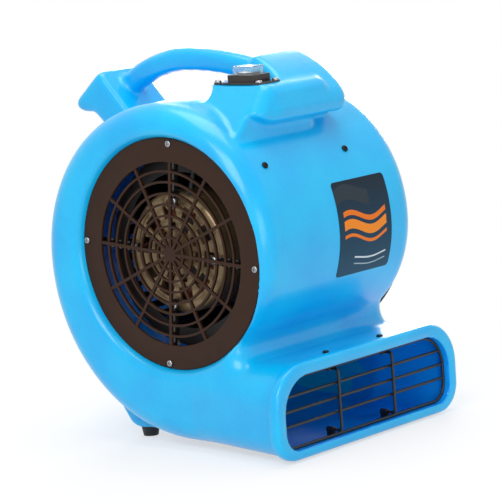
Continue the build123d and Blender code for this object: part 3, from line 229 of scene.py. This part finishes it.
# stripes of the label, as shares of the film: height, swing, thickness, left end, right end, colour
label_prints = (
    (0.84, 0.045, 0.160, 0.00, 0.62, "#26323c"),
    (0.62, 0.050, 0.055, 0.10, 0.90, "#e8761f"),
    (0.50, 0.050, 0.100, 0.10, 0.90, "#f08a24"),
    (0.38, 0.050, 0.035, 0.10, 0.90, "#e8761f"),
    (0.17, 0.020, 0.018, 0.30, 0.90, "#cfd8dc"),
    (0.10, 0.020, 0.012, 0.30, 0.90, "#9fb4bd"),
)
label_waves = 1.2            # waves of a stripe across the film


def printed_film(name):
    """Printed vinyl film on the front of the scroll: night blue with three orange gusts."""
    finish, tree, output, place = new_finish(name)
    low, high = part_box("label_plate")
    spot = add(tree, "ShaderNodeSeparateXYZ", {"Vector": place})
    across = add(tree, "ShaderNodeMapRange", {"Value": spot.outputs["X"], "From Min": low.x,
                                              "From Max": high.x})
    height = add(tree, "ShaderNodeMapRange", {"Value": spot.outputs["Z"], "From Min": low.z,
                                              "From Max": high.z})
    turn = add(tree, "ShaderNodeMath", {0: across.outputs["Result"], 1: label_waves * 2 * pi},
               operation="MULTIPLY")
    sine = add(tree, "ShaderNodeMath", {0: turn.outputs["Value"]}, operation="SINE")
    # a slow change from slate at the top to teal at the foot, as a printer blends them
    ink = add(tree, "ShaderNodeMix", {"Factor": height.outputs["Result"], "A": srgb("#0a4560"),
                                      "B": srgb("#0b1f2e")}, data_type="RGBA")
    for middle, swing, thick, left, right, shade in label_prints:
        wave = add(tree, "ShaderNodeMath", {0: sine.outputs["Value"], 1: swing, 2: middle},
                   operation="MULTIPLY_ADD")
        within = add(tree, "ShaderNodeMath", {0: height.outputs["Result"], 1: wave.outputs["Value"],
                                              2: thick / 2}, operation="COMPARE")
        after = add(tree, "ShaderNodeMath", {0: across.outputs["Result"], 1: left},
                    operation="GREATER_THAN")
        before = add(tree, "ShaderNodeMath", {0: across.outputs["Result"], 1: right},
                     operation="LESS_THAN")
        span = add(tree, "ShaderNodeMath", {0: after.outputs["Value"], 1: before.outputs["Value"]},
                   operation="MULTIPLY")
        mask = add(tree, "ShaderNodeMath", {0: within.outputs["Value"], 1: span.outputs["Value"]},
                   operation="MULTIPLY")
        ink = add(tree, "ShaderNodeMix", {"Factor": mask.outputs["Value"], "A": ink.outputs["Result"],
                                          "B": srgb(shade)}, data_type="RGBA")
    grain = add(tree, "ShaderNodeTexNoise", {"Vector": place, "Scale": per_metre(3), "Detail": 2.0})
    gloss = add(tree, "ShaderNodeMapRange", {"Value": grain.outputs["Fac"], "To Min": 0.26,
                                             "To Max": 0.36})
    bump = add(tree, "ShaderNodeBump", {"Height": grain.outputs["Fac"], "Strength": 0.3,
                                        "Distance": 0.05 * MM})
    skin = add(tree, "ShaderNodeBsdfPrincipled", {
        "Base Color": ink.outputs["Result"], "Roughness": gloss.outputs["Result"],
        "Specular IOR Level": 0.16, "Normal": bump.outputs["Normal"]})
    tree.links.new(skin.outputs["BSDF"], output.inputs["Surface"])
    return finish


# ---------------------------------------------------------------- one finish for each real material
# the outside of the shell: a bright waxy blue with broad soft gleams
sky_shell = rotomoulded_polyethylene("sky_blue_polyethylene", "#04bcf2", "#00abec")
# the inside of the duct and the scroll: painted shade, a deeper and more saturated copy of the same blue
# plastic
painted_shade_shell = rotomoulded_polyethylene("painted_shade_blue_polyethylene", "#0aa0ff", "#0292ff")
# grilles with a coarse moulded grain: a brown black that hardly gleams
grille_black = moulded_plastic("brown_black_polypropylene", ("#29150a", "#361f10"), 0.44, 1.5,
                               gleam=0.2)
# the switch body: a brown black with a firm gloss
switch_brown = moulded_plastic("brown_black_phenolic", ("#1e1512", "#2a1e1a"), 0.32, 1.0)
# the rocker: dark grey, a shade lighter than what is round it
rocker_grey = moulded_plastic("dark_grey_nylon", ("#26282b", "#303338"), 0.35, 1.0)
# the cord gland: a dull black with a soft sheen on its edges
gland_black = moulded_plastic("black_nylon", ("#121213", "#1c1c1e"), 0.48, 1.2)
# the sheath of the motor lead: a supple, nearly matt black
lead_black = moulded_plastic("black_vinyl_sheath", ("#131314", "#1b1b1d"), 0.50, 1.0)
# feet and grommet: a dusty black without sharp gleams
foot_black = moulded_plastic("black_rubber", ("#0f0f10", "#191919"), 0.72, 0.9, sheen=0.2)
# the wire guard: a cool black satin that draws a thin gleam along each wire
guard_black = coated_steel("black_powder_coat", ("#101114", "#191b1f"), 0.42, 0.7)
# blackened screws: dark, with a muted metal glint
screw_black = coated_steel("black_oxide", ("#0e0e10", "#1b1b1e"), 0.38, 0.6, metallic=0.6)
# switch plate and motor arms: a smooth deep black under a clear gloss
plate_black = coated_steel("black_enamel", ("#0b0b0c", "#131315"), 0.24, 1.2, coat=0.4)
# the motor's shells: a beige with a faint metal shimmer in it
motor_gold = coated_steel("beige_baked_enamel", ("#6f5b41", "#a08a66"), 0.30, 1.0, metallic=0.5)
# the screws that show: small bright mirrors
screw_chrome = bare_metal("chrome_plate", ("#85868a", "#b4b4b7"), 0.18, 3.0)
# nuts, bolts and foot screws: a pale grey with a soft shine
zinc = bare_metal("bright_zinc_plate", ("#a6abb0", "#c8ccd0"), 0.32, 1.5)
# the motor shaft: bright, with fine streaks along it
steel = bare_metal("ground_steel", ("#8d8f92", "#b6b8bb"), 0.26, 0.5, along=(0.1, 1.0, 1.0))
# stator and rotor stacks: dark grey, the edges of the sheets read as fine lines round them
lamination = bare_metal("stacked_silicon_steel", ("#4b4c50", "#7a7b80"), 0.45, 0.5,
                        along=(1.0, 0.05, 0.05))
# wheel hub and rivets: a pale, slightly mottled grey
casting = bare_metal("die_cast_aluminium", ("#9a9b9d", "#bdbec0"), 0.42, 1.2)
# sleeve bearings: a dull warm brown
bronze = bare_metal("sintered_bronze", ("#80603a", "#a07c4c"), 0.42, 0.6)
# the capacitor's can: silver with faint drawing marks
can = bare_metal("drawn_aluminium", ("#a9abae", "#cfd0d2"), 0.30, 1.0, along=(0.1, 1.0, 1.0))
# wiring cover and capacitor clip: grey, crystal by crystal lighter or darker
sheet_zinc = galvanised_sheet("galvanised_sheet")
# the wheel: a brown black that stays dark behind the grille
wheel_black = coated_steel("black_wheel_enamel", ("#0a0706", "#140f0d"), 0.50, 0.9)
# the windings: warm ridges of wire under a varnish gloss
copper = wound_copper("enamelled_copper")
# the splash boot: its rim and waves show more than its body
boot_clear = clear_vinyl("clear_vinyl")
# the label: flat bright inks under a soft, even gloss
label_film = printed_film("printed_film")

finish_of = {
    "housing": sky_shell,
    "intake_grille_left": grille_black, "intake_grille_right": grille_black,
    "grille_screws": screw_chrome, "plate_screws": screw_chrome,
    "grille_nuts": zinc, "guard_clips": guard_black, "clip_screws": screw_black, "cover_nuts": zinc,
    "foot_screws": zinc, "motor_bolts": zinc,
    "outlet_guard": guard_black, "nose_screws": screw_black, "cover_screws": screw_black,
    "wheel_set_screw": screw_black, "switch_plate": plate_black, "motor_arms": plate_black,
    "switch_body": switch_brown, "switch_rocker": rocker_grey, "switch_boot": boot_clear,
    "wiring_cover": sheet_zinc, "capacitor_clip": sheet_zinc, "wheel_disc": wheel_black,
    "wheel_blades": wheel_black, "wheel_rings": wheel_black,
    "capacitor": can, "wheel_hub": casting, "wheel_rivets": casting,
    "motor_end_bell_outer": motor_gold, "motor_end_bell_inner": motor_gold, "motor_can": motor_gold,
    "motor_bushings": bronze, "stator_core": lamination, "rotor_core": lamination,
    "stator_windings": copper, "motor_shaft": steel, "motor_lead": lead_black,
    "lead_grommet": foot_black, "cord_gland": gland_black, "gland_nut": gland_black,
    "front_feet": foot_black, "rear_feet": foot_black, "label_plate": label_film,
}
for name, piece in nodes.items():
    piece.data.materials.clear()
    piece.data.materials.append(finish_of[name])

# ---------------------------------------------------------------- the moulded shell
point_gap = 2 * MM           # spacing of the points of the new skin
same_point = 0.02 * MM       # corners nearer than this are one
crease_turn = radians(16)    # a softer turn than this is no crease
crease_pitch = 3 * MM        # spacing of the points along a crease
hollow_reach = 9 * MM        # inside corners melt this far to each side
crest_reach = 4.5 * MM       # outside corners melt this far to each side
melt_rounds = 28
melt_step = 0.5              # share of the way to its neighbours' middle in one round
fitted_from = 2.5 * MM       # nothing melts nearer than this to a fitted piece
fitted_to = 7 * MM           # and from here on everything melts
seat_from = 112 * MM         # from here outwards the side faces carry the grille seats
seat_inner, seat_outer = 104 * MM, 143 * MM      # radii of a grille seat with its lip
seat_share = 0.12            # a seat's edges are only eased
mouth_from = -174 * MM       # the rim of the outlet starts here and stays as it is
duct_from = -60 * MM         # the outlet duct lies in front of this
duct_middle = 54.5 * MM      # and round this height
neck_top = 200 * MM          # in front of the duct's start only what is over this is scroll
scroll_roof = 320 * MM       # over this the handle's underside faces the axis too
scroll_inner = 123 * MM      # the scroll's painted shade, a deeper blue, ends just short of the grilles' ledges
least_lean = 0.5             # a face looks some way when its normal leans there this much
most_triangles = 198000      # enough for the shell, and few enough to be kept as they are
fan_axis = (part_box("wheel_disc")[0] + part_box("wheel_disc")[1]) / 2
fitted_pieces = ("intake_grille_left", "intake_grille_right", "grille_nuts", "nose_screws",
                 "cover_screws", "clip_screws", "foot_screws", "front_feet", "rear_feet",
                 "label_plate", "switch_plate", "plate_screws", "cord_gland", "gland_nut",
                 "guard_clips", "wiring_cover")


def apply_modifier(piece, kind, **settings):
    """Changes the piece's mesh by one modifier."""
    modifier = piece.modifiers.new(kind.lower(), kind)
    for name, value in settings.items():
        setattr(modifier, name, value)
    depsgraph = bpy.context.evaluated_depsgraph_get()
    mesh = bpy.data.meshes.new_from_object(piece.evaluated_get(depsgraph))
    piece.modifiers.clear()
    piece.data = mesh


def tree_of(points):
    """The points, sorted for finding the nearest."""
    tree = KDTree(len(points))
    for index, point in enumerate(points):
        tree.insert(point, index)
    tree.balance()
    return tree


def crease_points(mesh):
    """Points along the inside corners and along the outside corners of the shell."""
    solid = bmesh.new()
    solid.from_mesh(mesh)
    bmesh.ops.remove_doubles(solid, verts=solid.verts, dist=same_point)
    hollows, crests = [], []
    for edge in solid.edges:
        turn = edge.calc_face_angle_signed(0.0) if len(edge.link_faces) == 2 else 0.0
        if abs(turn) > crease_turn:
            first, last = (corner.co for corner in edge.verts)
            steps = max(1, int((last - first).length / crease_pitch))
            points = [first.lerp(last, (k + 0.5) / steps) for k in range(steps)]
            (hollows if turn < 0 else crests).extend(points)
    solid.free()
    return hollows, crests


def melt_shares(points):
    """How freely each point of the skin moves while the creases melt, from 0 to 1."""
    hollows, crests = (tree_of(found) for found in crease_points(nodes["housing"].data))
    fitted = tree_of([corner.co for name in fitted_pieces for corner in nodes[name].data.vertices])
    shares = numpy.zeros(len(points))
    for index, point in enumerate(points):
        radius = ((point[1] - fan_axis.y) ** 2 + (point[2] - fan_axis.z) ** 2) ** 0.5
        if abs(point[0]) > seat_from and seat_inner < radius < seat_outer:
            shares[index] = seat_share
        elif point[1] >= mouth_from:
            melt = max(1 - hollows.find(point)[2] / hollow_reach,
                       1 - crests.find(point)[2] / crest_reach)
            if melt > 0:
                clear = (fitted.find(point)[2] - fitted_from) / (fitted_to - fitted_from)
                shares[index] = melt ** 0.5 * min(1.0, max(0.0, clear))
    return shares


def melt_creases(piece):
    """Rounds the creases of the skin: each point drifts towards its neighbours' middle."""
    points = numpy.empty(3 * len(piece.data.vertices))
    piece.data.vertices.foreach_get("co", points)
    points = points.reshape(-1, 3)
    shares = melt_shares(points)[:, None]
    ends = numpy.empty(2 * len(piece.data.edges), dtype=int)
    piece.data.edges.foreach_get("vertices", ends)
    first, last = ends.reshape(-1, 2).T
    here = numpy.concatenate((first, last))
    there = numpy.concatenate((last, first))
    neighbours = numpy.bincount(here, minlength=len(points))[:, None]
    for _ in range(melt_rounds):
        sums = [numpy.bincount(here, weights=points[there, axis], minlength=len(points))
                for axis in range(3)]
        points += melt_step * shares * (numpy.stack(sums, 1) / neighbours - points)
    piece.data.vertices.foreach_set("co", points.ravel())
    piece.data.update()


def gets_painted_shade(face):
    """Whether a face of the shell lines the duct or the scroll, as far as it takes the deeper blue of
    painted shade.
    """
    spot, facing = face.center, face.normal
    if spot.y < duct_from and spot.z < 2 * duct_middle and facing.y > -least_lean:
        if facing.x * spot.x + facing.z * (spot.z - duct_middle) < 0:
            return True
    if spot.z > scroll_roof or abs(spot.x) > scroll_inner:
        return False
    if spot.y < duct_from and spot.z < neck_top:
        return False
    towards_axis = facing.y * (spot.y - fan_axis.y) + facing.z * (spot.z - fan_axis.z) < 0
    towards_middle = facing.x * spot.x < -least_lean * abs(spot.x)
    return towards_axis or towards_middle


shell = bpy.data.objects.new("moulded_shell", nodes["housing"].data.copy())
scene.collection.objects.link(shell)
apply_modifier(shell, "REMESH", mode="VOXEL", voxel_size=point_gap)
apply_modifier(shell, "SHRINKWRAP", target=nodes["housing"], wrap_method="NEAREST_SURFACEPOINT")
melt_creases(shell)
triangles = sum(len(face.vertices) - 2 for face in shell.data.polygons)
apply_modifier(shell, "DECIMATE", ratio=most_triangles / triangles)
shell.data.shade_smooth()
shell.data.materials.clear()
shell.data.materials.append(sky_shell)
shell.data.materials.append(painted_shade_shell)
# faces lining the duct and the scroll take the deeper blue copy: painted shade
for face in shell.data.polygons:
    face.material_index = int(gets_painted_shade(face))
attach(shell, "shell")
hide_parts("housing")

# ---------------------------------------------------------------- floor, light and camera
def seen_or_mirrored(tree):
    """1 for rays from the camera, and for those that metal mirrors or glass lets through."""
    ray = add(tree, "ShaderNodeLightPath")
    bounced = add(tree, "ShaderNodeMath", {0: ray.outputs["Is Glossy Ray"],
                                           1: ray.outputs["Is Transmission Ray"]},
                  operation="MAXIMUM")
    return add(tree, "ShaderNodeMath", {0: ray.outputs["Is Camera Ray"],
                                        1: bounced.outputs["Value"]}, operation="MAXIMUM")


floor_half = 6.0
shadow_reach = (0.24, 0.62)  # the floor's shading fades out between these distances
floor_mesh = bpy.data.meshes.new("floor")
floor_mesh.from_pydata([(floor_half * i, floor_half * j, 0)
                        for i, j in ((-1, -1), (1, -1), (1, 1), (-1, 1))], [], [(0, 1, 2, 3)])
floor = bpy.data.objects.new("floor", floor_mesh)
scene.collection.objects.link(floor)
white_paper, tree, output, place = new_finish("white_paper")
direct = seen_or_mirrored(tree)
# the paper takes the object's shadow near it, and is pure white further away
away = add(tree, "ShaderNodeVectorMath", {0: place}, operation="LENGTH")
burnt = add(tree, "ShaderNodeMapRange", {"Value": away.outputs["Value"],
                                         "From Min": shadow_reach[0], "From Max": shadow_reach[1],
                                         "To Min": 0.60, "To Max": 1.0})
share = add(tree, "ShaderNodeMath", {0: direct.outputs["Value"], 1: burnt.outputs["Result"]},
            operation="MULTIPLY")
paper = add(tree, "ShaderNodeBsdfDiffuse", {"Color": srgb("#f7f7f7")})
glow = add(tree, "ShaderNodeEmission", {"Color": (1.0, 1.0, 1.0, 1.0), "Strength": 1.0})
sheet = add(tree, "ShaderNodeMixShader", {0: share.outputs["Value"], 1: paper.outputs["BSDF"],
                                          2: glow.outputs["Emission"]})
tree.links.new(sheet.outputs["Shader"], output.inputs["Surface"])
floor_mesh.materials.append(white_paper)

studio = bpy.data.worlds.new("studio")
scene.world = studio
studio.use_nodes = True
tree = studio.node_tree
tree.nodes.clear()
backdrop = seen_or_mirrored(tree)
fill = add(tree, "ShaderNodeBackground", {"Color": (0.97, 0.98, 1.0, 1.0), "Strength": 0.44})
white = add(tree, "ShaderNodeBackground", {"Color": (1.0, 1.0, 1.0, 1.0), "Strength": 1.0})
both = add(tree, "ShaderNodeMixShader", {0: backdrop.outputs["Value"], 1: fill.outputs["Background"],
                                         2: white.outputs["Background"]})
add(tree, "ShaderNodeOutputWorld", {"Surface": both.outputs["Shader"]})


def soft_box(name, place, target, size, power):
    """Square studio lamp at a place, aimed at a target."""
    lamp = bpy.data.lights.new(name, "AREA")
    lamp.shape = "SQUARE"
    lamp.size = size
    lamp.energy = power
    box = bpy.data.objects.new(name, lamp)
    box.location = place
    box.rotation_euler = (Vector(target) - Vector(place)).to_track_quat("-Z", "Y").to_euler()
    scene.collection.objects.link(box)


soft_box("key_light", (-1.9, -0.7, 1.7), (0, 0, 0.2), 1.2, 24)
soft_box("top_light", (0.1, 0.1, 2.2), (0, 0, 0.2), 1.4, 22)
soft_box("rim_light", (2.2, 1.4, 0.95), (0, 0, 0.25), 1.2, 34)
soft_box("front_fill", (-1.2, -2.3, 0.45), (0, 0, 0.1), 1.0, 9)

# the camera looks down a little across the left side and the outlet, and tips a little forward
view_place = (-2.3811, -2.0928, 0.6810)
view_heading, view_fall, view_tip, view_roll = (radians(a) for a in (40.20, 11.815, 5.0, -0.19))
forward = Vector((cos(view_heading) * cos(view_fall), sin(view_heading) * cos(view_fall),
                  -sin(view_fall)))
level_right = Vector((sin(view_heading), -cos(view_heading), 0))
level_up = level_right.cross(forward)
right = level_right * cos(view_roll) + level_up * sin(view_roll)
up = level_up * cos(view_roll) - level_right * sin(view_roll)
tip = Matrix.Rotation(view_tip, 3, "X")
turn = Matrix((tip @ right, tip @ up, tip @ -forward)).transposed().to_4x4()
lens = bpy.data.cameras.new("camera")
lens.sensor_width = 36.0
lens.lens = 197.35
lens.clip_end = 40.0
camera = bpy.data.objects.new("camera", lens)
camera.matrix_world = Matrix.Translation(view_place) @ turn
scene.collection.objects.link(camera)
scene.camera = camera
scene.view_settings.view_transform = "Standard"
